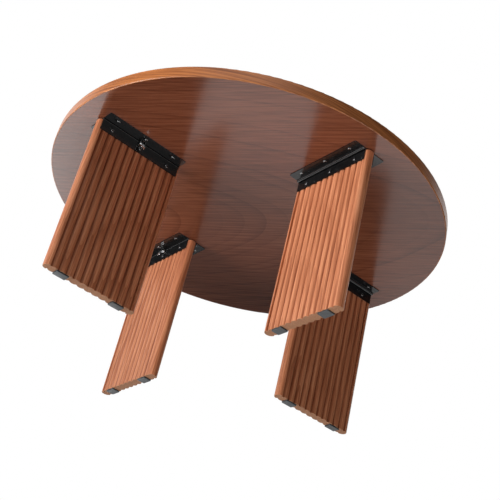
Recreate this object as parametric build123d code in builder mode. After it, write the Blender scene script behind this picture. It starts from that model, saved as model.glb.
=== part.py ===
from build123d import *
import os

# Round folding low table (chabudai). A laminated disc stands on four reeded plank legs. Each leg
# hangs on a steel hinge bracket whose pin runs along a spoke of the disc, and folds sideways, flat
# under the top. A sprung lever on the other side of the bracket locks the leg upright.
# Millimetres, +Z up. The origin is on the floor, under the middle of the disc.

# ---------------------------------------------------------------- driving dimensions
table_height = 350.0
top_diameter = 800.0

core_thickness = 22.0
laminate_thickness = 0.7
edge_band_thickness = 2.0
edge_rounding = 1.5

leg_centre_radius = 265.5           # from the table's axis to the middle of each leg
first_leg_angle = 45.0
leg_thickness = 20.0                # over the crests of the reeds
reed_pitch = 15.1
reed_count = 11
reed_depth = 3.8
shoulder_width = 1.45               # from the last groove to where the round edge begins

pad_length = 25.0
pad_width = 17.0
pad_thickness = 3.0
pad_spacing = 116.0
pad_corner = 1.5

sheet = 1.5                         # all bracket steel
bracket_length = 176.0
bracket_width = 72.0
plate_corner = 3.0
cheek_drop = 25.3                   # from the underside of the top to the cheeks' lower edge
saddle_gap = 0.3                    # between the base plate and the saddle's web
bend_radius = 1.4

hinge_pin_radius = 1.2
running_clearance = 0.05
seat_clearance = 0.02
knuckle_wall = 1.2
base_knuckle_length = 35.0
knuckle_gap = 0.4                   # between the knuckles, along the pin
knuckle_cheek_gap = 0.4
window_clearance = 0.4
pin_chamfer = 0.3

screw_pitch = 63.5
table_screw_offset = 26.0           # from the leg's middle plane
leg_screw_drop = 15.5               # below the underside of the top
screw_head_radius = 3.5
screw_head_height = 1.8
screw_head_rounding = 1.0
screw_shank_radius = 1.6
screw_tip = 2.5
screw_tip_radius = 0.2
screw_hole_radius = 2.0
pilot_clearance = 0.05
pilot_spare_depth = 0.5
table_screw_length = 16.0
leg_screw_length = 9.0
recess_length = 3.8
recess_width = 0.8
recess_depth = 1.0
folded_head_gap = 0.7               # between facing screw heads when a leg is folded

lever_width = 8.0
lever_sheet = 1.2
lever_eye_radius = 2.2
lever_reach = 8.0                   # of the thumb tab's end, outwards from the lever pin
lever_drop = 16.5                   # of the thumb tab's end, down from the lever pin
lever_eye_gap = 0.5                 # between the eye and the base plate
lever_nose_gap = 0.3                # between the nose and the cheek it locks
lever_nose_drop = 3.3
lever_side_gap = 0.3
lever_pin_radius = 1.0
lever_pin_offset = 3.1              # from the cheek to the lever pin
lug_margin = 1.5                    # steel round the lever pin, less the eye
lug_cheek_gap = 0.6
slot_length = 10.0
slot_height = 3.6

spring_wire_radius = 0.3
spring_turns = 7
spring_pitch = 0.55                 # a little under the wire's diameter, so the turns touch
spring_pin_gap = 0.25
spring_end_gap = 0.3
spring_tail_gap = 0.1

# ---------------------------------------------------------------- levels and places
underside_z = table_height - core_thickness - 2 * laminate_thickness
plate_face_z = underside_z - sheet
saddle_top_z = plate_face_z - saddle_gap
leg_top_z = saddle_top_z - sheet
cheek_bottom_z = underside_z - cheek_drop
leg_screw_z = underside_z - leg_screw_drop
core_bottom_z = underside_z + laminate_thickness
core_top_z = core_bottom_z + core_thickness

core_radius = top_diameter / 2 - edge_band_thickness
half_thickness = leg_thickness / 2
half_reeds = reed_count * reed_pitch / 2
groove_face = half_thickness - reed_depth
edge_centre = half_reeds + shoulder_width
leg_tip = edge_centre + half_thickness
cheek_face = half_thickness + sheet

hinge_bore = hinge_pin_radius + running_clearance
knuckle_radius = hinge_bore + knuckle_wall
hinge_reach = knuckle_radius + knuckle_cheek_gap
hinge_drop = 2 * screw_head_height + folded_head_gap - hinge_reach
hinge_y = -(cheek_face + hinge_reach)
hinge_z = plate_face_z - hinge_drop
saddle_knuckle_length = bracket_length - 2 * base_knuckle_length - 2 * knuckle_gap
hinge_window_length = saddle_knuckle_length + 2 * knuckle_gap

lever_y = cheek_face + lever_pin_offset
lever_z = plate_face_z - lever_eye_gap - lever_eye_radius
lug_centre = lever_width / 2 + lever_side_gap + sheet / 2
spring_radius = lever_pin_radius + spring_pin_gap + spring_wire_radius
spring_length = (spring_turns - 1) * spring_pitch + 2 * spring_wire_radius
spring_room = spring_length + 2 * spring_end_gap
spring_tail_length = plate_face_z - lever_z - spring_tail_gap

stations = {"back_right": 0, "back_left": 1, "front_left": 2, "front_right": 3}


def leg_station(quarter):
    """Plane on the floor under one leg: X points outwards along the spoke and Z points up."""
    spoke = Vector(1, 0, 0).rotate(Axis.Z, first_leg_angle + 90 * quarter)
    return Plane(origin=spoke * leg_centre_radius, x_dir=spoke, z_dir=(0, 0, 1))


def across(station, along=0.0):
    """Plane square to the spoke: its X is the station's Y and its Y is the height."""
    origin = station.from_local_coords((along, 0, 0))
    return Plane(origin=origin, x_dir=station.y_dir, z_dir=station.x_dir)


def beside(station, side, distance):
    """Plane that faces away from the leg on one side (+1 or -1), with its origin on the floor."""
    origin = station.from_local_coords((0, side * distance, 0))
    return Plane(origin=origin, x_dir=station.x_dir * -side, z_dir=station.y_dir * side)


def finish(builder, name):
    """Label a finished piece and write its file."""
    builder.part.label = name
    export_step(builder.part, f"parts/{name}.step")


def pan_head_screw(length):
    """Wood screw with a crossed pan head. The head bears on Z = 0 and the shank points down."""
    with BuildPart() as screw:
        with BuildSketch():
            Circle(screw_head_radius)
        extrude(amount=screw_head_height)
        fillet(screw.edges().group_by(Axis.Z)[-1], radius=screw_head_rounding)
        with BuildSketch():
            Circle(screw_shank_radius)
        extrude(amount=screw_tip - length)
        with Locations((0, 0, screw_tip / 2 - length)):
            Cone(screw_tip_radius, screw_shank_radius, screw_tip)
        with BuildSketch(Plane.XY.offset(screw_head_height)):
            Rectangle(recess_length, recess_width)
            Rectangle(recess_width, recess_length)
        extrude(amount=-recess_depth, mode=Mode.SUBTRACT)
    return screw.part


def torsion_spring():
    """Close-wound spring about Z, its touching turns drawn as rings, with one tail along +Y."""
    with BuildPart() as spring:
        with BuildSketch(Plane.XZ):
            with Locations((spring_radius, 0)):
                with GridLocations(0, spring_pitch, 1, spring_turns):
                    Circle(spring_wire_radius)
        revolve(axis=Axis.Z)
        with BuildSketch(Plane.XZ):
            with Locations((spring_radius, (spring_turns - 1) * spring_pitch / 2)):
                Circle(spring_wire_radius)
        extrude(amount=-spring_tail_length)
    return spring.part


table_screw = pan_head_screw(table_screw_length)
leg_screw = pan_head_screw(leg_screw_length)
lever_spring = torsion_spring()

os.makedirs("parts", exist_ok=True)

# ---------------------------------------------------------------- tabletop
# The board's core, with a pilot hole for every bracket screw.
pilot_depth = table_screw_length - sheet - laminate_thickness + pilot_spare_depth
with BuildPart() as tabletop_core:
    with BuildSketch(Plane.XY.offset(core_bottom_z)):
        Circle(core_radius)
    extrude(amount=core_thickness)
    with BuildSketch(Plane.XY.offset(core_bottom_z)):
        with PolarLocations(leg_centre_radius, 4, start_angle=first_leg_angle):
            with GridLocations(screw_pitch, 2 * table_screw_offset, 3, 2):
                Circle(screw_shank_radius + pilot_clearance)
    extrude(amount=pilot_depth, mode=Mode.SUBTRACT)
finish(tabletop_core, "tabletop_core")

with BuildPart() as top_laminate:
    with BuildSketch(Plane.XY.offset(core_top_z)):
        Circle(core_radius)
    extrude(amount=laminate_thickness)
finish(top_laminate, "top_laminate")

with BuildPart() as bottom_laminate:
    with BuildSketch(Plane.XY.offset(underside_z)):
        Circle(core_radius)
        with PolarLocations(leg_centre_radius, 4, start_angle=first_leg_angle):
            with GridLocations(screw_pitch, 2 * table_screw_offset, 3, 2):
                Circle(screw_shank_radius + pilot_clearance, mode=Mode.SUBTRACT)
    extrude(amount=laminate_thickness)
finish(bottom_laminate, "bottom_laminate")

# The band bent round the rim, with both outer corners trimmed round.
with BuildPart() as edge_band:
    with BuildSketch(Plane.XY.offset(underside_z)):
        Circle(top_diameter / 2)
        Circle(core_radius, mode=Mode.SUBTRACT)
    extrude(amount=table_height - underside_z)
    rim_edges = edge_band.edges().filter_by(GeomType.CIRCLE).group_by(lambda e: e.radius)[-1]
    fillet(rim_edges, radius=edge_rounding)
finish(edge_band, "edge_band")


# ---------------------------------------------------------------- one leg and its bracket
def build_leg_board(station, name):
    """Plank with round edges and the same row of reeds on both faces."""
    with BuildPart() as leg_board:
        with BuildSketch(station.offset(pad_thickness)):
            with BuildLine():
                for side in (1, -1):
                    for reed in range(reed_count):
                        groove = side * (reed * reed_pitch - half_reeds)
                        crest = groove + side * reed_pitch / 2
                        next_groove = groove + side * reed_pitch
                        ThreePointArc(
                            (groove, side * groove_face),
                            (crest, side * half_thickness),
                            (next_groove, side * groove_face),
                        )
                    last_groove = side * half_reeds
                    round_start = side * edge_centre
                    RadiusArc(
                        (last_groove, side * groove_face),
                        (round_start, side * half_thickness),
                        reed_depth + shoulder_width / 2,
                    )
                    RadiusArc(
                        (round_start, side * half_thickness),
                        (side * leg_tip, 0),
                        half_thickness,
                    )
                    RadiusArc(
                        (side * leg_tip, 0),
                        (round_start, -side * half_thickness),
                        half_thickness,
                    )
                    RadiusArc(
                        (round_start, -side * half_thickness),
                        (last_groove, -side * groove_face),
                        reed_depth + shoulder_width / 2,
                    )
            make_face()
        extrude(amount=leg_top_z - pad_thickness)
        for side in (1, -1):
            with BuildSketch(beside(station, side, cheek_face)):
                with Locations((0, leg_screw_z)):
                    with GridLocations(screw_pitch, 0, 3, 1):
                        Circle(screw_shank_radius + pilot_clearance)
            extrude(amount=-(leg_screw_length + pilot_spare_depth), mode=Mode.SUBTRACT)
    finish(leg_board, name)


def build_foot_pads(station, name):
    """Two hard rubber glides under the plank's end."""
    with BuildPart() as foot_pads:
        with BuildSketch(station):
            with GridLocations(pad_spacing, 0, 2, 1):
                RectangleRounded(pad_length, pad_width, pad_corner)
        extrude(amount=pad_thickness)
    finish(foot_pads, name)


def build_base_plate(station, name):
    """Plate on the table's underside, with the two outer hinge knuckles and the lever's lugs."""
    with BuildPart() as base_plate:
        with BuildSketch(station.offset(underside_z)):
            RectangleRounded(bracket_length, bracket_width, plate_corner)
        extrude(amount=-sheet)
        with BuildSketch(across(station, -bracket_length / 2)):
            with Locations((hinge_y, hinge_z)):
                Circle(knuckle_radius)
        extrude(amount=bracket_length)
        with BuildSketch(station.offset(underside_z)):
            with Locations((0, hinge_y)):
                Rectangle(hinge_window_length, 2 * (knuckle_radius + window_clearance))
        extrude(amount=-(underside_z - hinge_z + knuckle_radius), mode=Mode.SUBTRACT)
        with BuildSketch(across(station, -bracket_length / 2)):
            with Locations((hinge_y, hinge_z)):
                Circle(hinge_pin_radius + seat_clearance)
        extrude(amount=bracket_length, mode=Mode.SUBTRACT)
        lug_bottom = lever_z - lever_pin_radius - lug_margin
        lug_start = cheek_face + lug_cheek_gap
        lug_end = lever_y + (lever_y - lug_start)
        for side in (1, -1):
            with BuildSketch(across(station, side * lug_centre - sheet / 2)):
                with BuildLine():
                    Line((lug_start, plate_face_z), (lug_start, lever_z))
                    ThreePointArc((lug_start, lever_z), (lever_y, lug_bottom), (lug_end, lever_z))
                    Line((lug_end, lever_z), (lug_end, plate_face_z))
                    Line((lug_end, plate_face_z), (lug_start, plate_face_z))
                make_face()
                with Locations((lever_y, lever_z)):
                    Circle(lever_pin_radius + seat_clearance, mode=Mode.SUBTRACT)
            extrude(amount=sheet)
        with BuildSketch(station.offset(underside_z)):
            with GridLocations(screw_pitch, 2 * table_screw_offset, 3, 2):
                Circle(screw_hole_radius)
        extrude(amount=-sheet, mode=Mode.SUBTRACT)
    finish(base_plate, name)


def build_leg_saddle(station, name):
    """U of sheet steel over the plank's top end. Its web runs on to the middle hinge knuckle."""
    web_run = hinge_reach + bend_radius
    with BuildPart() as leg_saddle:
        with BuildSketch(across(station, -bracket_length / 2)):
            with Locations((0, (saddle_top_z + cheek_bottom_z) / 2)):
                Rectangle(2 * cheek_face, saddle_top_z - cheek_bottom_z)
            top_corners = vertices().group_by(Axis.Y)[-1]
            fillet(top_corners, radius=bend_radius)
            with Locations((0, (leg_top_z + cheek_bottom_z) / 2)):
                Rectangle(leg_thickness, leg_top_z - cheek_bottom_z, mode=Mode.SUBTRACT)
        extrude(amount=bracket_length)
        with BuildSketch(across(station, -saddle_knuckle_length / 2)):
            with Locations((hinge_y, hinge_z)):
                Circle(knuckle_radius)
            with Locations((hinge_y + web_run / 2, saddle_top_z - sheet / 2)):
                Rectangle(web_run, sheet)
            with Locations((hinge_y, hinge_z)):
                Circle(hinge_bore, mode=Mode.SUBTRACT)
        extrude(amount=saddle_knuckle_length)
        for side in (1, -1):
            with BuildSketch(beside(station, side, cheek_face)):
                with Locations((0, leg_screw_z)):
                    with GridLocations(screw_pitch, 0, 3, 1):
                        Circle(screw_hole_radius)
            extrude(amount=-sheet, mode=Mode.SUBTRACT)
        with BuildSketch(beside(station, 1, cheek_face)):
            with Locations((0, lever_z - lever_nose_drop)):
                SlotOverall(slot_length, slot_height)
        extrude(amount=-sheet, mode=Mode.SUBTRACT)
    finish(leg_saddle, name)


def build_round_pin(station, name, radius, length, y, z):
    """Straight steel pin along the spoke, with chamfered ends."""
    with BuildPart() as pin:
        with BuildSketch(across(station, -length / 2)):
            with Locations((y, z)):
                Circle(radius)
        extrude(amount=length)
        chamfer(pin.edges().filter_by(GeomType.CIRCLE), length=pin_chamfer)
    finish(pin, name)


def build_lock_lever(station, name):
    """Pressed catch: an eye rolled round the lever pin, a nose for the slot and a thumb tab."""
    nose_y = cheek_face + lever_nose_gap
    nose_z = lever_z - lever_nose_drop
    tab_end = Vector(lever_y + lever_reach, lever_z - lever_drop)
    tab_root = Vector(lever_y + lever_eye_radius / 2, lever_z)
    with BuildPart() as lock_lever:
        with BuildSketch(across(station, -lever_width / 2)):
            with Locations((lever_y, lever_z)):
                Circle(lever_eye_radius)
            with BuildLine():
                Polyline(
                    (lever_y - lever_eye_radius, lever_z),
                    (nose_y, nose_z + lever_sheet / 2),
                    (nose_y + lever_sheet / 2, nose_z - lever_sheet / 2),
                    (lever_y, lever_z - lever_eye_radius),
                    (lever_y, lever_z),
                    close=True,
                )
            make_face()
            with BuildLine() as tab_line:
                Line(tab_root, tab_end)
            trace(tab_line.line, line_width=lever_sheet)
            with Locations(tab_end):
                Circle(lever_sheet * 0.75)
            with Locations((lever_y, lever_z)):
                Circle(lever_pin_radius + running_clearance, mode=Mode.SUBTRACT)
        extrude(amount=lever_width)
        with BuildSketch(across(station, -spring_room / 2)):
            with Locations((lever_y, lever_z)):
                Circle(lever_eye_radius + lever_nose_gap)
        extrude(amount=spring_room, mode=Mode.SUBTRACT)
    finish(lock_lever, name)


def build_lock_spring(station, name):
    """Torsion spring round the lever pin, with its tail up against the base plate."""
    middle = across(station)
    coil_plane = Plane(
        origin=middle.from_local_coords((lever_y, lever_z, 0)),
        x_dir=middle.x_dir,
        z_dir=middle.z_dir,
    )
    with BuildPart(coil_plane) as lock_spring:
        add(lever_spring)
    finish(lock_spring, name)


def build_table_screws(station, name):
    """Six screws that fix the base plate to the underside."""
    head_plane = Plane(
        origin=station.offset(plate_face_z).origin, x_dir=station.x_dir, z_dir=(0, 0, -1)
    )
    with BuildPart(head_plane) as table_screws:
        with GridLocations(screw_pitch, 2 * table_screw_offset, 3, 2):
            add(table_screw)
    finish(table_screws, name)


def build_leg_screws(station, name):
    """Three screws through each cheek into the plank."""
    cheek_planes = []
    for side in (1, -1):
        cheek = beside(station, side, cheek_face)
        seat = cheek.from_local_coords((0, leg_screw_z, 0))
        cheek_planes.append(Plane(origin=seat, x_dir=cheek.x_dir, z_dir=cheek.z_dir))
    with BuildPart(*cheek_planes) as leg_screws:
        with GridLocations(screw_pitch, 0, 3, 1):
            add(leg_screw)
    finish(leg_screws, name)


lever_pin_length = 2 * (lug_centre + sheet / 2)
for place, quarter in stations.items():
    station = leg_station(quarter)
    build_leg_board(station, f"leg_board_{place}")
    build_foot_pads(station, f"foot_pads_{place}")
    build_base_plate(station, f"base_plate_{place}")
    build_leg_saddle(station, f"leg_saddle_{place}")
    build_round_pin(
        station, f"hinge_pin_{place}", hinge_pin_radius, bracket_length, hinge_y, hinge_z
    )
    build_lock_lever(station, f"lock_lever_{place}")
    build_round_pin(
        station, f"lever_pin_{place}", lever_pin_radius, lever_pin_length, lever_y, lever_z
    )
    build_lock_spring(station, f"lock_spring_{place}")
    build_table_screws(station, f"table_screws_{place}")
    build_leg_screws(station, f"leg_screws_{place}")
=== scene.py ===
import math

import bpy
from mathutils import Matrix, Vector


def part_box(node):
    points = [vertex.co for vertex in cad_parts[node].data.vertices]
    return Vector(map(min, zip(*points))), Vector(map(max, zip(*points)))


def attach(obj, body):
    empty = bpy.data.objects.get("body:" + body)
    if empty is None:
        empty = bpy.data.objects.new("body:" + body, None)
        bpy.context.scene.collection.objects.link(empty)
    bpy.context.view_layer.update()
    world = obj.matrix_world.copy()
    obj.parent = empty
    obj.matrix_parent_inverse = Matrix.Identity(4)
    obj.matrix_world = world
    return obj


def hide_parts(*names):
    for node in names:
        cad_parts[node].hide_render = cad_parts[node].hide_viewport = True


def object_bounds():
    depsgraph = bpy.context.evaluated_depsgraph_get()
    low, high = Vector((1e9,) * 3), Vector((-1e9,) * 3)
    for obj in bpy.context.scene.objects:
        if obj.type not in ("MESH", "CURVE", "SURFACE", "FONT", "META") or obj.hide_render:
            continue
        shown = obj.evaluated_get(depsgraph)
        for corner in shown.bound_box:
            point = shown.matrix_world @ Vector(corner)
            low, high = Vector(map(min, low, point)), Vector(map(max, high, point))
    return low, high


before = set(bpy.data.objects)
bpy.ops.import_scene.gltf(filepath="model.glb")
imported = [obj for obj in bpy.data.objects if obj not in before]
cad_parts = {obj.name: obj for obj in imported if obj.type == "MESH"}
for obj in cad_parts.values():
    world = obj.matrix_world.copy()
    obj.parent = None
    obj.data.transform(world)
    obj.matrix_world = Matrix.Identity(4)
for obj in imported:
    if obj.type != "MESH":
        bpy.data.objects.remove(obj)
cad_low, cad_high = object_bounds()


# ---------------------------------------------------------------- the board inside the top
# A 22 mm disc of particle board. Laminate covers both faces and a band closes the rim, so its pale
# chips show only inside the screw holes.
def new_finish(name, **sockets):
    """Start a material and set the shader's own sockets, such as Roughness or Coat_Weight."""
    finish = bpy.data.materials.new(name)
    finish.use_nodes = True
    shader = finish.node_tree.nodes["Principled BSDF"]
    for socket, value in sockets.items():
        shader.inputs[socket.replace("_", " ")].default_value = value
    return finish


def node(owner, kind, inputs=None, **settings):
    """Add a shader node. Each input is a number, a colour or another node's output."""
    made = owner.node_tree.nodes.new("ShaderNode" + kind)
    for setting, value in settings.items():
        setattr(made, setting, value)
    for socket, value in (inputs or {}).items():
        if isinstance(value, bpy.types.NodeSocket):
            owner.node_tree.links.new(value, made.inputs[socket])
        else:
            made.inputs[socket].default_value = value
    return made


def ramp(owner, factor, *stops):
    """Colour ramp through (position, colour) stops."""
    made = node(owner, "ValToRGB", {"Fac": factor})
    elements = made.color_ramp.elements
    while len(elements) < len(stops):
        elements.new(0.5)
    for element, (position, colour) in zip(elements, stops):
        element.position = position
        element.color = (*colour, 1.0)
    return made.outputs["Color"]


def feed(finish, **sources):
    """Link outputs to the shader's sockets."""
    shader = finish.node_tree.nodes["Principled BSDF"]
    for socket, output in sources.items():
        finish.node_tree.links.new(output, shader.inputs[socket.replace("_", " ")])


def paint(node_name, finish):
    """Give a CAD node its finish."""
    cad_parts[node_name].data.materials[0] = finish


chip_pale = (0.52, 0.36, 0.21)
chip_dark = (0.30, 0.19, 0.10)
chips_per_metre = 420.0

chipboard = new_finish("particle_board", Roughness=0.85)
chip_place = node(chipboard, "TexCoord").outputs["Object"]
chip_cells = node(chipboard, "TexVoronoi", {"Vector": chip_place, "Scale": chips_per_metre})
chip_colour = ramp(chipboard, chip_cells.outputs["Distance"], (0.1, chip_dark), (0.7, chip_pale))
chip_relief = node(
    chipboard, "Bump", {"Height": chip_cells.outputs["Distance"], "Strength": 0.4, "Distance": 0.0003}
)
feed(chipboard, Base_Color=chip_colour, Normal=chip_relief.outputs["Normal"])
paint("tabletop_core", chipboard)


# ---------------------------------------------------------------- laminate on both faces
# Semi-gloss sheets with a printed wood grain, pressed onto the board. The grain runs almost along X,
# nearly straight, with an arched figure at the middle of the sheet.
def scaled(finish, place, along, across):
    """The place with its X times along, and its Y and Z times across."""
    return node(finish, "Mapping", {"Vector": place, "Scale": (along, across, across)}).outputs["Vector"]


def noise(finish, place, detail=2.0, roughness=0.5):
    """Noise whose patches are about one unit of place."""
    inputs = {"Vector": place, "Scale": 1.0, "Detail": detail, "Roughness": roughness}
    return node(finish, "TexNoise", inputs).outputs["Fac"]


def add_scaled(finish, value, factor, to):
    """value times factor plus to. Each is a number or an output."""
    return node(finish, "Math", {0: value, 1: factor, 2: to}, operation="MULTIPLY_ADD").outputs[0]


# How often each pattern of the print repeats in a metre, along the grain and across it.
bow_run = (0.9, 4.0)
waver_run = (4.0, 28.0)
cloud_run = (1.6, 9.0)
streak_run = (7.0, 300.0)
fibre_run = (14.0, 700.0)
pore_run = (110.0, 2600.0)

bow_width = 0.09                        # how far the rings swing to the side in a long bow
waver_width = 0.006                     # and in short waves
cloud_weight = 0.3                      # weights of the patterns that are added up to the tone
streak_weight = 1.55
fibre_weight = 0.6
pore_weight = -0.12
tone_floor = -0.4
pore_limits = (0.6, 0.74)
tone_stops = (0.45, 0.78, 1.0)
late_wood = 3.0                         # how suddenly a ring turns dark at its end


def wood_print(finish, place, ring_gap, depth, slope, figure, tones):
    """Colour of a wood grain along the X of place, and the pores that dent its surface.

    The rings are cylinders depth below the sheet. slope tilts them, which draws the arches, and
    figure says how dark they are drawn.
    """
    bow = noise(finish, scaled(finish, place, *bow_run))
    waver = noise(finish, scaled(finish, place, *waver_run))
    parts = node(finish, "SeparateXYZ", {"Vector": place}).outputs
    across = add_scaled(finish, bow, bow_width, add_scaled(finish, waver, waver_width, parts["Y"]))
    below = add_scaled(finish, parts["X"], slope, add_scaled(finish, parts["Z"], 1.0, depth))
    section = node(finish, "CombineXYZ", {"X": across, "Y": below}).outputs["Vector"]
    radius = node(finish, "VectorMath", {0: section}, operation="LENGTH").outputs["Value"]
    ring = node(finish, "Math", {0: radius, 1: ring_gap}, operation="DIVIDE").outputs[0]
    rise = node(finish, "Math", {0: ring}, operation="FRACT").outputs[0]
    late = node(finish, "Math", {0: rise, 1: late_wood}, operation="POWER").outputs[0]
    year = node(finish, "Math", {0: ring}, operation="FLOOR").outputs[0]
    strength = node(finish, "TexWhiteNoise", {"W": year}, noise_dimensions="1D").outputs["Value"]
    line = node(finish, "Math", {0: late, 1: strength}, operation="MULTIPLY").outputs[0]
    cloud = noise(finish, scaled(finish, place, *cloud_run))
    streak = noise(finish, scaled(finish, place, *streak_run), 3.0, 0.65)
    fibre = noise(finish, scaled(finish, place, *fibre_run), 2.0)
    pore_noise = noise(finish, scaled(finish, place, *pore_run), 1.0)
    pores = node(
        finish,
        "MapRange",
        {"Value": pore_noise, "From Min": pore_limits[0], "From Max": pore_limits[1], "To Max": 1.0},
    ).outputs["Result"]
    tone = add_scaled(finish, line, -figure, add_scaled(finish, cloud, cloud_weight, tone_floor))
    tone = add_scaled(finish, streak, streak_weight, add_scaled(finish, fibre, fibre_weight, tone))
    tone = add_scaled(finish, pores, pore_weight, tone)
    return ramp(finish, tone, *zip(tone_stops, tones)), pores


laminate_turn = math.radians(10.0)      # the sheet was cut a little askew to its grain
laminate_rings = 0.0075
laminate_depth = 0.06
laminate_slope = 0.16
laminate_figure = 0.3
underside_tones = ((0.105, 0.029, 0.013), (0.185, 0.055, 0.026), (0.25, 0.081, 0.040))
top_tones = ((0.21, 0.070, 0.028), (0.32, 0.115, 0.05), (0.39, 0.15, 0.070))

for node_name, tones, shift in (
    ("bottom_laminate", underside_tones, (0.12, -0.05, 0.0)),
    ("top_laminate", top_tones, (0.5, -0.02, -0.35)),
):
    laminate = new_finish(node_name + "_print", Roughness=0.18, IOR=1.5)
    sheet_place = node(laminate, "TexCoord").outputs["Object"]
    turned = node(
        laminate,
        "Mapping",
        {"Vector": sheet_place, "Rotation": (0, 0, laminate_turn), "Location": shift},
    )
    sheet_colour, sheet_pores = wood_print(
        laminate,
        turned.outputs["Vector"],
        laminate_rings,
        laminate_depth,
        laminate_slope,
        laminate_figure,
        tones,
    )
    sheet_relief = node(
        laminate, "Bump", {"Height": sheet_pores, "Strength": 0.08, "Distance": 0.0001}, invert=True
    )
    feed(laminate, Base_Color=sheet_colour, Normal=sheet_relief.outputs["Normal"])
    paint(node_name, laminate)


# ---------------------------------------------------------------- band round the rim
# A 2 mm plastic strip with the same print, glued round the board's edge. Its grain follows the rim,
# and both corners are trimmed round.
band_rings = 0.006
band_slant = math.radians(6.0)          # the print runs off the strip at a small angle
band_depth = 0.05
band_slope = 0.10
band_figure = 0.4
band_tones = ((0.18, 0.050, 0.0125), (0.365, 0.118, 0.033), (0.50, 0.175, 0.052))

banding = new_finish("edge_band_print", Roughness=0.38, IOR=1.5)
rim = node(banding, "TexCoord").outputs["Object"]
rim_parts = node(banding, "SeparateXYZ", {"Vector": rim}).outputs
rim_angle = node(banding, "Math", {0: rim_parts["Y"], 1: rim_parts["X"]}, operation="ARCTAN2")
rim_radius = (cad_high.x - cad_low.x) / 2
rim_run = node(banding, "Math", {0: rim_angle.outputs[0], 1: rim_radius}, operation="MULTIPLY")
rim_flat = node(banding, "CombineXYZ", {"X": rim_run.outputs[0], "Y": rim_parts["Z"]})
rim_place = node(
    banding, "Mapping", {"Vector": rim_flat.outputs["Vector"], "Rotation": (0, 0, band_slant)}
)
band_colour = wood_print(
    banding, rim_place.outputs["Vector"], band_rings, band_depth, band_slope, band_figure, band_tones
)[0]
feed(banding, Base_Color=band_colour)
paint("edge_band", banding)


# ---------------------------------------------------------------- leg planks
# Four planks wrapped in a red-brown wood print, with round edges and eleven reeds milled into both
# faces. The sawn ends are bare, with a small chamfer.
def clear_selection():
    """Leave edit mode with nothing selected."""
    if bpy.context.object and bpy.context.object.mode != "OBJECT":
        bpy.ops.object.mode_set(mode="OBJECT")
    bpy.ops.object.select_all(action="DESELECT")


def select_faces(piece, wanted):
    """Select the faces of a piece for which wanted(face) is true, and go to edit mode."""
    bpy.ops.object.mode_set(mode="EDIT")
    bpy.ops.mesh.select_mode(type="FACE")
    bpy.ops.mesh.select_all(action="DESELECT")
    bpy.ops.object.mode_set(mode="OBJECT")
    for face in piece.data.polygons:
        face.select = wanted(face)
    bpy.ops.object.mode_set(mode="EDIT")


def select_points(piece, wanted):
    """Select the vertices of a piece for which wanted(place) is true, and go to edit mode."""
    bpy.ops.object.mode_set(mode="EDIT")
    bpy.ops.mesh.select_mode(type="VERT")
    bpy.ops.mesh.select_all(action="DESELECT")
    bpy.ops.object.mode_set(mode="OBJECT")
    for point in piece.data.vertices:
        point.select = wanted(point.co)
    bpy.ops.object.mode_set(mode="EDIT")


def apply_modifier(piece, kind, **settings):
    """Add a modifier, set it and apply it."""
    modifier = piece.modifiers.new(kind.lower(), kind)
    for setting, value in settings.items():
        setattr(modifier, setting, value)
    bpy.context.view_layer.objects.active = piece
    bpy.ops.object.modifier_apply(modifier=modifier.name)


def apply_place(piece):
    """Put an object's place, turn and scale into its mesh."""
    clear_selection()
    piece.select_set(True)
    bpy.context.view_layer.objects.active = piece
    bpy.ops.object.transform_apply(location=True, rotation=True, scale=True)


def set_on_spoke(model, name, place):
    """Copy a piece that was made at the origin to its leg. The model's X points along the spoke."""
    piece = model.copy()
    piece.data = model.data.copy()
    piece.name = name
    bpy.context.scene.collection.objects.link(piece)
    angle = leg_angles[place]
    piece.rotation_euler = (0, 0, angle)
    piece.location = (leg_radius * math.cos(angle), leg_radius * math.sin(angle), 0)
    apply_place(piece)
    return piece


def discard(*pieces):
    """Remove the models that were copied into place."""
    for piece in pieces:
        bpy.data.objects.remove(piece)


leg_angles = {
    "back_right": math.radians(45),
    "back_left": math.radians(135),
    "front_left": math.radians(225),
    "front_right": math.radians(315),
}
leg_radius = 0.2655                     # from the table's axis to the middle of a leg

reed_count = 11
reed_pitch = 0.0151
reed_depth = 0.0038
plank_half = 0.010
shoulder = 0.00145
end_chamfer = 0.0005
groove_face = plank_half - reed_depth
half_reeds = reed_count * reed_pitch / 2
edge_centre = half_reeds + shoulder
reed_radius = ((reed_pitch / 2) ** 2 + reed_depth**2) / (2 * reed_depth)
reed_points = 72                        # round the whole circle of which a reed is the cap
edge_steps = 20
weld = reed_depth / 50                  # points nearer to each other than this are one
plank_low, plank_high = (corner.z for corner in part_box("leg_board_back_right"))

# One reed is the cap of a circle. It is repeated, and the round edge is spun on after the last one.
clear_selection()
bpy.ops.mesh.primitive_circle_add(
    vertices=reed_points,
    radius=reed_radius,
    location=((reed_pitch - 2 * half_reeds) / 2, plank_half - reed_radius, plank_low + end_chamfer),
)
plank = bpy.context.object
apply_place(plank)
bpy.ops.object.mode_set(mode="EDIT")
bpy.ops.mesh.select_all(action="SELECT")
bpy.ops.mesh.bisect(plane_co=(0, groove_face, 0), plane_no=(0, 1, 0), clear_inner=True)
bpy.ops.object.mode_set(mode="OBJECT")
apply_modifier(
    plank,
    "ARRAY",
    count=reed_count,
    use_relative_offset=False,
    use_constant_offset=True,
    constant_offset_displace=(reed_pitch, 0, 0),
    use_merge_vertices=True,
    merge_threshold=weld,
)
select_points(plank, lambda point: point.x > half_reeds - weld)
bpy.ops.mesh.extrude_vertices_move(TRANSFORM_OT_translate={"value": (shoulder, reed_depth, 0)})
bpy.ops.mesh.spin(steps=edge_steps, angle=math.pi, center=(edge_centre, 0, plank_low), axis=(0, 0, 1))
bpy.ops.mesh.extrude_vertices_move(TRANSFORM_OT_translate={"value": (-shoulder, reed_depth, 0)})
bpy.ops.mesh.select_all(action="SELECT")
bpy.ops.mesh.duplicate()
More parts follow.
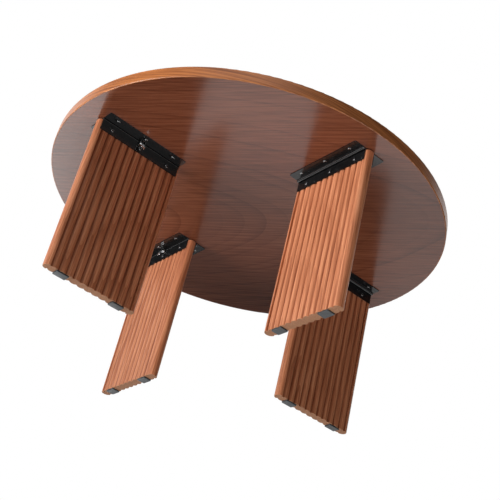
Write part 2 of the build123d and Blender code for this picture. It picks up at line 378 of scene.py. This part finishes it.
bpy.ops.transform.rotate(value=math.pi, orient_axis="Z", center_override=(0, 0, 0))
bpy.ops.mesh.select_all(action="SELECT")
bpy.ops.mesh.remove_doubles(threshold=weld)
bpy.ops.mesh.edge_face_add()
plank_length = plank_high - plank_low - 2 * end_chamfer
bpy.ops.mesh.extrude_region_move(TRANSFORM_OT_translate={"value": (0, 0, plank_length)})
bpy.ops.mesh.select_all(action="SELECT")
bpy.ops.mesh.normals_make_consistent(inside=False)
select_faces(plank, lambda face: abs(face.normal.z) > 0.9)
bpy.ops.mesh.inset(thickness=end_chamfer, depth=end_chamfer)
bpy.ops.object.mode_set(mode="OBJECT")
bpy.ops.object.shade_smooth_by_angle(angle=math.radians(35))

plank_rings = 0.0065
plank_depth = 0.05
plank_slope = 0.05
plank_figure = 0.4
print_shift = 1.7                       # each plank is wrapped in another stretch of the print
layer_shift = 0.3
plank_skew = 0.03                       # the print's grain runs this much across per metre of length
plank_tones = ((0.36, 0.115, 0.048), (0.53, 0.19, 0.086), (0.64, 0.26, 0.128))
painted_groove_shade = (0.55, 0.47, 0.42)       # painted shade: the colour darkens towards the bottom of each groove
painted_light_by_plank = (0.93, 0.90, 0.84, 1.12)  # painted light: each plank made lighter or darker for the light that falls on it
plank_wrap = new_finish("leg_wood_wrap", Roughness=0.45, IOR=1.4)
plank_place = node(plank_wrap, "Attribute", attribute_name="grain").outputs["Vector"]
plank_colour, plank_pores = wood_print(
    plank_wrap, plank_place, plank_rings, plank_depth, plank_slope, plank_figure, plank_tones
)
plank_relief = node(
    plank_wrap, "Bump", {"Height": plank_pores, "Strength": 0.25, "Distance": 0.0002}, invert=True
)
# Painted shade: the hollow attribute darkens the colour towards the bottom of each groove.
hollow = node(plank_wrap, "Attribute", attribute_name="hollow").outputs["Fac"]
painted_hollow_shade = ramp(plank_wrap, hollow, (0.2, (1.0, 1.0, 1.0)), (1.0, painted_groove_shade))
shaded = node(
    plank_wrap,
    "Mix",
    {"Factor": 1.0, "A": plank_colour, "B": painted_hollow_shade},
    data_type="RGBA",
    blend_type="MULTIPLY",
)
# Painted light: each plank's colour is scaled by how much light falls on that plank.
painted_plank_light = node(plank_wrap, "Attribute", attribute_name="painted_plank_light").outputs["Fac"]
toned = node(
    plank_wrap, "VectorMath", {0: shaded.outputs["Result"], "Scale": painted_plank_light}, operation="SCALE"
)
feed(plank_wrap, Base_Color=toned.outputs["Vector"], Normal=plank_relief.outputs["Normal"])

sawn_end = new_finish("leg_sawn_end", Roughness=0.7)
end_place = node(sawn_end, "Attribute", attribute_name="grain").outputs["Vector"]
end_grain = node(sawn_end, "TexNoise", {"Vector": end_place, "Scale": 900.0, "Detail": 3.0})
end_colour = ramp(
    sawn_end, end_grain.outputs["Fac"], (0.3, (0.35, 0.145, 0.068)), (0.7, (0.57, 0.285, 0.155))
)
feed(sawn_end, Base_Color=end_colour)
plank.data.materials.append(plank_wrap)
plank.data.materials.append(sawn_end)
for face in plank.data.polygons:
    face.material_index = 1 if abs(face.normal.z) > 0.5 else 0

for attribute, kind in (("hollow", "FLOAT"), ("painted_plank_light", "FLOAT"), ("grain", "FLOAT_VECTOR")):
    plank.data.attributes.new(attribute, kind, "POINT")
# How deep each point lies in a groove, read by the painted shade in the grooves.
for point, value in zip(plank.data.vertices, plank.data.attributes["hollow"].data):
    if abs(point.co.x) < half_reeds:
        value.value = (plank_half - abs(point.co.y)) / reed_depth

for number, place in enumerate(leg_angles):
    # Painted light: the lightness of this plank, for the light that falls on it.
    for value in plank.data.attributes["painted_plank_light"].data:
        value.value = painted_light_by_plank[number]
    for point, value in zip(plank.data.vertices, plank.data.attributes["grain"].data):
        askew = point.co.x + plank_skew * point.co.z
        value.vector = (point.co.z + print_shift * number, askew, point.co.y + layer_shift * number)
    piece = set_on_spoke(plank, f"plank_{place}", place)
    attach(piece, f"leg_{place}")
    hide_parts(f"leg_board_{place}")
discard(plank)


# ---------------------------------------------------------------- foot pads
# Two slate grey glides of hard rubber under each foot, moulded with soft edges. They are glued to
# the sawn end of the plank.
pad_spacing = 0.116
pad_size = (0.025, 0.017, 0.003)
pad_corner = 0.0015
pad_edge = 0.0005

clear_selection()
bpy.ops.mesh.primitive_cube_add(size=1, location=(0, 0, pad_size[2] / 2), scale=pad_size)
pad = bpy.context.object
apply_place(pad)
bpy.ops.object.mode_set(mode="EDIT")
bpy.ops.mesh.select_all(action="DESELECT")
bpy.ops.object.mode_set(mode="OBJECT")
for edge in pad.data.edges:
    ends = [pad.data.vertices[end].co for end in edge.vertices]
    edge.select = abs(ends[0].z - ends[1].z) > pad_size[2] / 2
bpy.ops.object.mode_set(mode="EDIT")
bpy.ops.mesh.bevel(offset=pad_corner, segments=4)
select_faces(pad, lambda face: abs(face.normal.z) > 0.9)
bpy.ops.mesh.bevel(offset=pad_edge, segments=3)
bpy.ops.object.mode_set(mode="OBJECT")
bpy.ops.object.shade_smooth_by_angle(angle=math.radians(40))
apply_modifier(
    pad,
    "ARRAY",
    count=2,
    use_relative_offset=False,
    use_constant_offset=True,
    constant_offset_displace=(pad_spacing, 0, 0),
)
pad.location.x = -pad_spacing / 2

pad_rubber = new_finish("foot_pad_rubber", Roughness=0.55)
pad_place = node(pad_rubber, "TexCoord").outputs["Object"]
pad_speckle = node(pad_rubber, "TexNoise", {"Vector": pad_place, "Scale": 1400.0, "Detail": 3.0})
pad_colour = ramp(
    pad_rubber, pad_speckle.outputs["Fac"], (0.3, (0.023, 0.025, 0.027)), (0.7, (0.039, 0.042, 0.045))
)
pad_relief = node(
    pad_rubber, "Bump", {"Height": pad_speckle.outputs["Fac"], "Strength": 0.3, "Distance": 0.0002}
)
feed(pad_rubber, Base_Color=pad_colour, Normal=pad_relief.outputs["Normal"])
pad.data.materials.append(pad_rubber)
apply_place(pad)
for place in leg_angles:
    piece = set_on_spoke(pad, f"glides_{place}", place)
    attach(piece, f"leg_{place}")
    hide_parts(f"foot_pads_{place}")
discard(pad)


# ---------------------------------------------------------------- black steel brackets
# Base plate and saddle are pressed from 1.5 mm sheet and coated black, with eased edges. A painted
# highlight, a light line added to the coat's colour, runs along the upper fold.
def eased_copy(node_name, name, width):
    """Copy of a CAD node with its edges slightly rounded, as pressing and coating leave them."""
    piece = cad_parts[node_name].copy()
    piece.data = piece.data.copy()
    piece.name = name
    piece.parent = None
    bpy.context.scene.collection.objects.link(piece)
    clear_selection()
    piece.select_set(True)
    bpy.context.view_layer.objects.active = piece
    bpy.ops.mesh.customdata_custom_splitnormals_clear()
    bpy.ops.object.mode_set(mode="EDIT")
    bpy.ops.mesh.select_all(action="SELECT")
    bpy.ops.mesh.remove_doubles(threshold=1e-6)
    bpy.ops.mesh.dissolve_limited(angle_limit=math.radians(0.5))
    bpy.ops.object.mode_set(mode="OBJECT")
    bpy.ops.object.shade_smooth()
    apply_modifier(
        piece,
        "BEVEL",
        width=width,
        segments=2,
        limit_method="ANGLE",
        angle_limit=math.radians(50),
        use_clamp_overlap=True,
        harden_normals=True,
    )
    apply_modifier(piece, "WEIGHTED_NORMAL", keep_sharp=True, weight=100)
    return piece


fold_low = 0.3226                       # levels of the lower and upper end of the saddle's fold
fold_high = 0.3248
# Painted highlight: a light line added to the black coat along the fold.
painted_fold_highlight = (0.10, 0.10, 0.10)
no_highlight = (0, 0, 0)
black_coat = new_finish("bracket_coat", Roughness=0.2, IOR=1.5)
coat_place = node(black_coat, "TexCoord").outputs["Object"]
coat_grain = node(black_coat, "TexNoise", {"Vector": coat_place, "Scale": 1100.0, "Detail": 3.0})
coat_cloud = node(black_coat, "TexNoise", {"Vector": coat_place, "Scale": 60.0, "Detail": 3.0})
coat_colour = ramp(
    black_coat, coat_cloud.outputs["Fac"], (0.3, (0.004, 0.004, 0.0042)), (0.7, (0.008, 0.008, 0.0085))
)
coat_relief = node(
    black_coat, "Bump", {"Height": coat_grain.outputs["Fac"], "Strength": 0.06, "Distance": 0.0002}
)
coat_height = node(black_coat, "SeparateXYZ", {"Vector": coat_place}).outputs["Z"]
# Painted highlight: the coat turns lighter between fold_low and fold_high, standing in for light on the
# fold.
fold_highlight_share = node(
    black_coat, "MapRange", {"Value": coat_height, "From Min": fold_low, "From Max": fold_high}
).outputs["Result"]
fold_highlight_colour = ramp(
    black_coat,
    fold_highlight_share,
    (0.0, no_highlight),
    (0.35, painted_fold_highlight),
    (0.75, painted_fold_highlight),
    (1.0, no_highlight),
)
coat_and_highlight = node(black_coat, "VectorMath", {0: coat_colour, 1: fold_highlight_colour}, operation="ADD")
feed(black_coat, Base_Color=coat_and_highlight.outputs["Vector"], Normal=coat_relief.outputs["Normal"])
sheet_ease = 0.00025
for place in leg_angles:
    for part, body in (("base_plate", "tabletop"), ("leg_saddle", f"leg_{place}")):
        piece = eased_copy(f"{part}_{place}", f"pressed_{part}_{place}", sheet_ease)
        piece.data.materials.clear()
        piece.data.materials.append(black_coat)
        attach(piece, body)
        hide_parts(f"{part}_{place}")


# ---------------------------------------------------------------- pins and springs
# Plain drawn steel. A long pin in the base plate's knuckles carries each leg, a short pin in its lugs
# carries the catch, and a small wire spring round the short pin closes the catch.
drawn_steel = new_finish("drawn_steel", Metallic=1.0, Roughness=0.32)
steel_place = node(drawn_steel, "TexCoord").outputs["Object"]
steel_lines = node(drawn_steel, "TexNoise", {"Vector": steel_place, "Scale": 2500.0, "Detail": 2.0})
steel_colour = ramp(
    drawn_steel, steel_lines.outputs["Fac"], (0.3, (0.42, 0.42, 0.43)), (0.7, (0.60, 0.60, 0.61))
)
feed(drawn_steel, Base_Color=steel_colour)

for place in leg_angles:
    for part in ("hinge_pin", "lever_pin", "lock_spring"):
        paint(f"{part}_{place}", drawn_steel)


# ---------------------------------------------------------------- catches
# A bright plated catch locks each leg. It is pressed from one strip of 1.2 mm sheet: a nose for the
# slot, an eye rolled over the pin, cut out for the spring, and a domed thumb tab.
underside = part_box("bottom_laminate")[0].z
catch_width = 0.008
catch_columns = 16
catch_sheet = 0.0012
catch_ease = 0.00035
pin_offset = 0.0146                     # from the leg's middle plane to the lever pin
pin_level = underside - 0.0042
roll_radius = 0.00165                   # of the middle of the sheet, round the pin
nose_length = 0.0034
nose_lean = 0.0005                      # of the nose's end towards the cheek
spring_room = 0.005
cut_radius = 0.0025                     # of the cut-out, round the pin
tab_dome = 0.0011
tab_steps = (                           # outwards, down, and the width against the last row
    (0.0007, -0.0012, 1.0),
    (0.0015, -0.0024, 1.0),
    (0.0018, -0.0026, 1.0),
    (0.0013, -0.0026, 1.0),
    (0.0006, -0.0026, 1.0),
    (0.0001, -0.0024, 0.96),
    (-0.0002, -0.0014, 0.86),
    (-0.0003, -0.0008, 0.65),
)

clear_selection()
bpy.ops.mesh.primitive_grid_add(
    x_subdivisions=catch_columns,
    y_subdivisions=3,
    size=catch_width,
    location=(0, pin_offset - roll_radius, pin_level - nose_length / 2),
    rotation=(math.pi / 2, 0, 0),
)
catch = bpy.context.object
bpy.ops.transform.resize(value=(1, 1, nose_length / catch_width))
apply_place(catch)
select_points(catch, lambda point: point.z < pin_level - nose_length / 2)
bpy.ops.transform.translate(value=(0, -nose_lean, 0))
select_points(catch, lambda point: point.z > pin_level - nose_length / 20)
bpy.ops.mesh.spin(steps=12, angle=-math.pi, center=(0, pin_offset, pin_level), axis=(1, 0, 0))
for outwards, down, narrower in tab_steps:
    bpy.ops.mesh.extrude_region_move(TRANSFORM_OT_translate={"value": (0, outwards, down)})
    bpy.ops.transform.resize(value=(narrower, 1, 1))
bpy.ops.mesh.select_all(action="SELECT")
bpy.ops.mesh.remove_doubles(threshold=catch_sheet / 100)
bpy.ops.mesh.normals_make_consistent(inside=False)
bpy.ops.object.mode_set(mode="OBJECT")
for point in catch.data.vertices:
    if point.co.y > pin_offset + cut_radius:
        point.co.y += tab_dome * (1 - (2 * point.co.x / catch_width) ** 2)
select_faces(
    catch,
    lambda face: abs(face.center.x) < spring_room / 2
    and math.hypot(face.center.y - pin_offset, face.center.z - pin_level) < cut_radius,
)
bpy.ops.mesh.delete(type="FACE")
bpy.ops.object.mode_set(mode="OBJECT")
apply_modifier(catch, "SOLIDIFY", thickness=catch_sheet, offset=0)
apply_modifier(catch, "BEVEL", width=catch_ease, segments=3, angle_limit=math.radians(50))
select_faces(catch, lambda face: True)
bpy.ops.mesh.normals_make_consistent(inside=False)
bpy.ops.object.mode_set(mode="OBJECT")
bpy.ops.object.shade_smooth_by_angle(angle=math.radians(50))

plated = new_finish("lever_plating", Metallic=1.0, Roughness=0.16)
plate_place = node(plated, "TexCoord").outputs["Object"]
plate_ripple = node(plated, "TexNoise", {"Vector": plate_place, "Scale": 700.0, "Detail": 1.0})
plate_colour = ramp(
    plated, plate_ripple.outputs["Fac"], (0.3, (0.80, 0.81, 0.82)), (0.7, (0.90, 0.91, 0.92))
)
plate_relief = node(
    plated, "Bump", {"Height": plate_ripple.outputs["Fac"], "Strength": 0.06, "Distance": 0.0002}
)
feed(plated, Base_Color=plate_colour, Normal=plate_relief.outputs["Normal"])
catch.data.materials.append(plated)
for place in leg_angles:
    piece = set_on_spoke(catch, f"catch_{place}", place)
    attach(piece, f"lever_{place}")
    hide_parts(f"lock_lever_{place}")
discard(catch)


# ---------------------------------------------------------------- screws
# Black pan head wood screws with a crossed recess: six through each base plate into the board, and
# three through each cheek of the saddle into the plank. No two stand at the same turn.
screw_pitch = 0.0635
head_radius = 0.0035
head_height = 0.0018
head_crown = 0.0002
head_rounding = 0.001
crown_inset = 0.35 * head_radius
shank_radius = 0.0016
tip_length = 0.0025
tip_narrowing = 0.12
recess_size = (0.0040, 0.00085, 0.0011)
recess_draft = 0.6
sheet_steel = 0.0015
plate_face = underside - sheet_steel
cheek_face = plank_half + sheet_steel
table_screw_offset = 0.026
leg_screw_level = underside - 0.0155
table_screw_length = 0.016
leg_screw_length = 0.009
golden_turn = math.radians(137.5)


def pan_head_screw(length):
    """A screw whose head bears on Z = 0, with its shank down."""
    clear_selection()
    blank = head_height - head_crown
    bpy.ops.mesh.primitive_cylinder_add(
        vertices=32, radius=head_radius, depth=blank, location=(0, 0, blank / 2)
    )
    screw = bpy.context.object
    apply_place(screw)
    select_faces(screw, lambda face: face.normal.z > 0.9)
    bpy.ops.mesh.bevel(offset=head_rounding, segments=5)
    select_faces(screw, lambda face: face.normal.z > 0.9 and face.center.z > blank * 0.99)
    bpy.ops.mesh.inset(thickness=crown_inset, depth=head_crown)
    select_faces(screw, lambda face: face.normal.z < -0.9)
    bpy.ops.mesh.inset(thickness=head_radius - shank_radius)
    bpy.ops.mesh.extrude_region_move(TRANSFORM_OT_translate={"value": (0, 0, tip_length - length)})
    bpy.ops.mesh.extrude_region_move(TRANSFORM_OT_translate={"value": (0, 0, -tip_length)})
    bpy.ops.transform.resize(value=(tip_narrowing, tip_narrowing, 1))
    clear_selection()
    for turn in (0, math.pi / 2):
        bpy.ops.mesh.primitive_cube_add(
            size=1,
            location=(0, 0, head_height),
            rotation=(0, 0, turn),
            scale=(recess_size[0], recess_size[1], 2 * recess_size[2]),
        )
        cutter = bpy.context.object
        apply_place(cutter)
        select_points(cutter, lambda point: point.z < head_height)
        bpy.ops.transform.resize(value=(recess_draft, recess_draft, 1))
        clear_selection()
        apply_modifier(screw, "BOOLEAN", object=cutter, operation="DIFFERENCE", solver="EXACT")
        discard(cutter)
    clear_selection()
    screw.select_set(True)
    bpy.context.view_layer.objects.active = screw
    bpy.ops.object.shade_smooth_by_angle(angle=math.radians(35))
    return screw


def drive_screws(model, seats):
    """Copy a screw to each seat, a place and a turn that tips its head, and join the copies."""
    driven = []
    for number, (place, tip) in enumerate(seats):
        copy = model.copy()
        copy.data = model.data.copy()
        bpy.context.scene.collection.objects.link(copy)
        copy.rotation_euler = (0, 0, golden_turn * number)
        apply_place(copy)
        copy.rotation_euler = (tip, 0, 0)
        copy.location = place
        apply_place(copy)
        driven.append(copy)
    clear_selection()
    for copy in driven:
        copy.select_set(True)
    bpy.context.view_layer.objects.active = driven[0]
    bpy.ops.object.join()
    discard(model)
    return driven[0]


screw_black = new_finish("screw_plating", Roughness=0.16, IOR=2.2)
screw_place = node(screw_black, "TexCoord").outputs["Object"]
screw_cloud = node(screw_black, "TexNoise", {"Vector": screw_place, "Scale": 600.0, "Detail": 2.0})
screw_colour = ramp(
    screw_black, screw_cloud.outputs["Fac"], (0.3, (0.008, 0.008, 0.009)), (0.7, (0.018, 0.018, 0.020))
)
feed(screw_black, Base_Color=screw_colour)

rows = (-screw_pitch, 0, screw_pitch)
plate_seats = []
cheek_seats = []
for side in (1, -1):
    for along in rows:
        plate_seats.append(((along, side * table_screw_offset, plate_face), math.pi))
        cheek_seats.append(((along, side * cheek_face, leg_screw_level), -side * math.pi / 2))
plate_screws = drive_screws(pan_head_screw(table_screw_length), plate_seats)
cheek_screws = drive_screws(pan_head_screw(leg_screw_length), cheek_seats)
for screws in (plate_screws, cheek_screws):
    screws.data.materials.append(screw_black)
for place in leg_angles:
    for screws, part, body in (
        (plate_screws, "table_screws", "tabletop"),
        (cheek_screws, "leg_screws", f"leg_{place}"),
    ):
        piece = set_on_spoke(screws, f"driven_{part}_{place}", place)
        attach(piece, body)
        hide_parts(f"{part}_{place}")
discard(plate_screws, cheek_screws)


# ---------------------------------------------------------------- floor, lamps and camera
# The table stands on a pale floor that is seen only from above, so the underside is open to a
# camera and to the lamps that stand lower than the floor.
floor_drop = 0.0005                     # clear of the pads' lower faces
floor_size = 9
bpy.ops.mesh.primitive_plane_add(size=floor_size, location=(0, 0, -floor_drop))
floor = bpy.context.object
floor.name = "floor"
floor.visible_diffuse = False
floor.visible_glossy = False
floor.visible_transmission = False
floor.visible_shadow = False
floor_paint = new_finish(
    "floor_paint",
    Base_Color=(0.55, 0.55, 0.55, 1),
    Roughness=0.9,
    Emission_Color=(1, 1, 1, 1),
    Emission_Strength=0.5,
)
floor_back = node(floor_paint, "NewGeometry").outputs["Backfacing"]
floor_clear = node(floor_paint, "BsdfTransparent").outputs["BSDF"]
floor_mix = node(
    floor_paint,
    "MixShader",
    {0: floor_back, 1: floor_paint.node_tree.nodes["Principled BSDF"].outputs["BSDF"], 2: floor_clear},
)
floor_paint.node_tree.links.new(
    floor_mix.outputs["Shader"], floor_paint.node_tree.nodes["Material Output"].inputs["Surface"]
)
floor.data.materials.append(floor_paint)

world = bpy.data.worlds.new("studio")
bpy.context.scene.world = world
world.use_nodes = True
ambient_level = 0.03                    # of the light that the walls give all round
unlit_level = 0.04                      # of the studio behind the camera, in glossy reflections
white_level = 1.0                       # of the background that the camera sees
wall_level = 1.35                       # of the white wall behind the table, in the gloss
side_level = 3.5                        # of the reflector at the left, seen only in the gloss
right_level = 0.9                       # of the wall at the right
low_level = 1.65                         # of the white ground behind the table

# Bearings from the back and rises in the gloss, between which each part of the studio fades in.
turn_to_left = (math.radians(-22), math.radians(-25.5))
turn_to_right = (math.radians(-7), math.radians(-3))
drop_to_ground = (math.radians(-31.5), math.radians(-38))
rise_to_wall = (math.radians(-12), math.radians(0))
left_end_of_wall = (math.radians(-86), math.radians(-71))
right_end_of_wall = (math.radians(55), math.radians(35))
end_of_side = (math.radians(-62), math.radians(-48))


def share(angle, limits):
    """0 to 1 as an angle goes from the first limit to the second."""
    inputs = {"Value": angle, "From Min": limits[0], "From Max": limits[1]}
    return node(world, "MapRange", inputs, interpolation_type="SMOOTHSTEP").outputs["Result"]


def combine(operation, first, second):
    """One Math node of the world."""
    return node(world, "Math", {0: first, 1: second}, operation=operation).outputs[0]


ray = node(world, "LightPath").outputs
direction = node(world, "TexCoord").outputs["Generated"]
heading = node(world, "SeparateXYZ", {"Vector": direction}).outputs
bearing_of_ray = combine("ARCTAN2", heading["X"], heading["Y"])
rise_of_ray = node(world, "Math", {0: heading["Z"]}, operation="ARCSINE").outputs[0]
wall = combine(
    "MULTIPLY", share(bearing_of_ray, left_end_of_wall), share(bearing_of_ray, right_end_of_wall)
)
side = combine("MULTIPLY", share(bearing_of_ray, turn_to_left), share(bearing_of_ray, end_of_side))
left = combine("MULTIPLY", side, side_level)
right_part = combine("MULTIPLY", share(bearing_of_ray, turn_to_right), wall)
right = combine("MULTIPLY", right_part, right_level)
ground = combine("MULTIPLY", share(rise_of_ray, drop_to_ground), low_level)
low_part = combine("MAXIMUM", combine("MAXIMUM", left, right), ground)
high_part = combine("MULTIPLY", wall, wall_level)
above = share(rise_of_ray, rise_to_wall)
glossy_mix = node(world, "Mix", {"Factor": above, "A": low_part, "B": high_part})
glossy_level = combine("MAXIMUM", glossy_mix.outputs["Result"], unlit_level)
seen = combine("MAXIMUM", ray["Is Camera Ray"], ray["Is Transmission Ray"])
reflected = combine("MULTIPLY", ray["Is Glossy Ray"], glossy_level)
shown = combine("MAXIMUM", combine("MULTIPLY", seen, white_level), reflected)
plain = combine("SUBTRACT", 1.0, combine("MAXIMUM", seen, ray["Is Glossy Ray"]))
level = combine("ADD", shown, combine("MULTIPLY", plain, ambient_level))
sky = node(world, "Background", {"Color": (1.0, 1.0, 1.0, 1.0), "Strength": level})
world.node_tree.links.new(
    sky.outputs["Background"], world.node_tree.nodes["World Output"].inputs["Surface"]
)


def softbox(name, bearing, rise, distance, size, watts, aim=(0, 0, 0.2)):
    """Square lamp. bearing and rise are the direction from its aim to it, in degrees."""
    lamp = bpy.data.objects.new(name, bpy.data.lights.new(name, "AREA"))
    lamp.data.shape = "SQUARE"
    lamp.data.size = size
    lamp.data.energy = watts
    turn = math.radians(bearing)
    lift = math.radians(rise)
    away = Vector((math.cos(turn) * math.cos(lift), math.sin(turn) * math.cos(lift), math.sin(lift)))
    lamp.location = Vector(aim) + away * distance
    lamp.rotation_euler = away.to_track_quat("Z", "Y").to_euler()
    bpy.context.scene.collection.objects.link(lamp)
    return lamp


softbox("key_lamp", bearing=-141, rise=-5, distance=2.2, size=1.0, watts=55)
softbox("low_key_lamp", bearing=-141, rise=-32, distance=2.2, size=1.6, watts=6)
softbox("right_lamp", bearing=-30, rise=-45, distance=2.2, size=1.6, watts=15)
softbox("low_lamp", bearing=-45, rise=-65, distance=2.2, size=1.6, watts=4)
softbox("back_lamp", bearing=100, rise=50, distance=2.4, size=1.6, watts=20, aim=(0, 0, 0.35))
softbox("top_lamp", bearing=-95, rise=58, distance=2.4, size=1.6, watts=24, aim=(0, 0, 0.35))

camera = bpy.data.objects.new("camera", bpy.data.cameras.new("camera"))
bpy.context.scene.collection.objects.link(camera)
bpy.context.scene.camera = camera
camera.data.sensor_width = 36.0
camera.data.lens = 75.54
camera.location = (0.4115, -1.7143, -0.8199)
camera.rotation_euler = (math.radians(122.03), math.radians(-12.26), math.radians(5.01))
camera.data.clip_start = 0.05
camera.data.clip_end = 50

bpy.context.scene.view_settings.view_transform = "Standard"
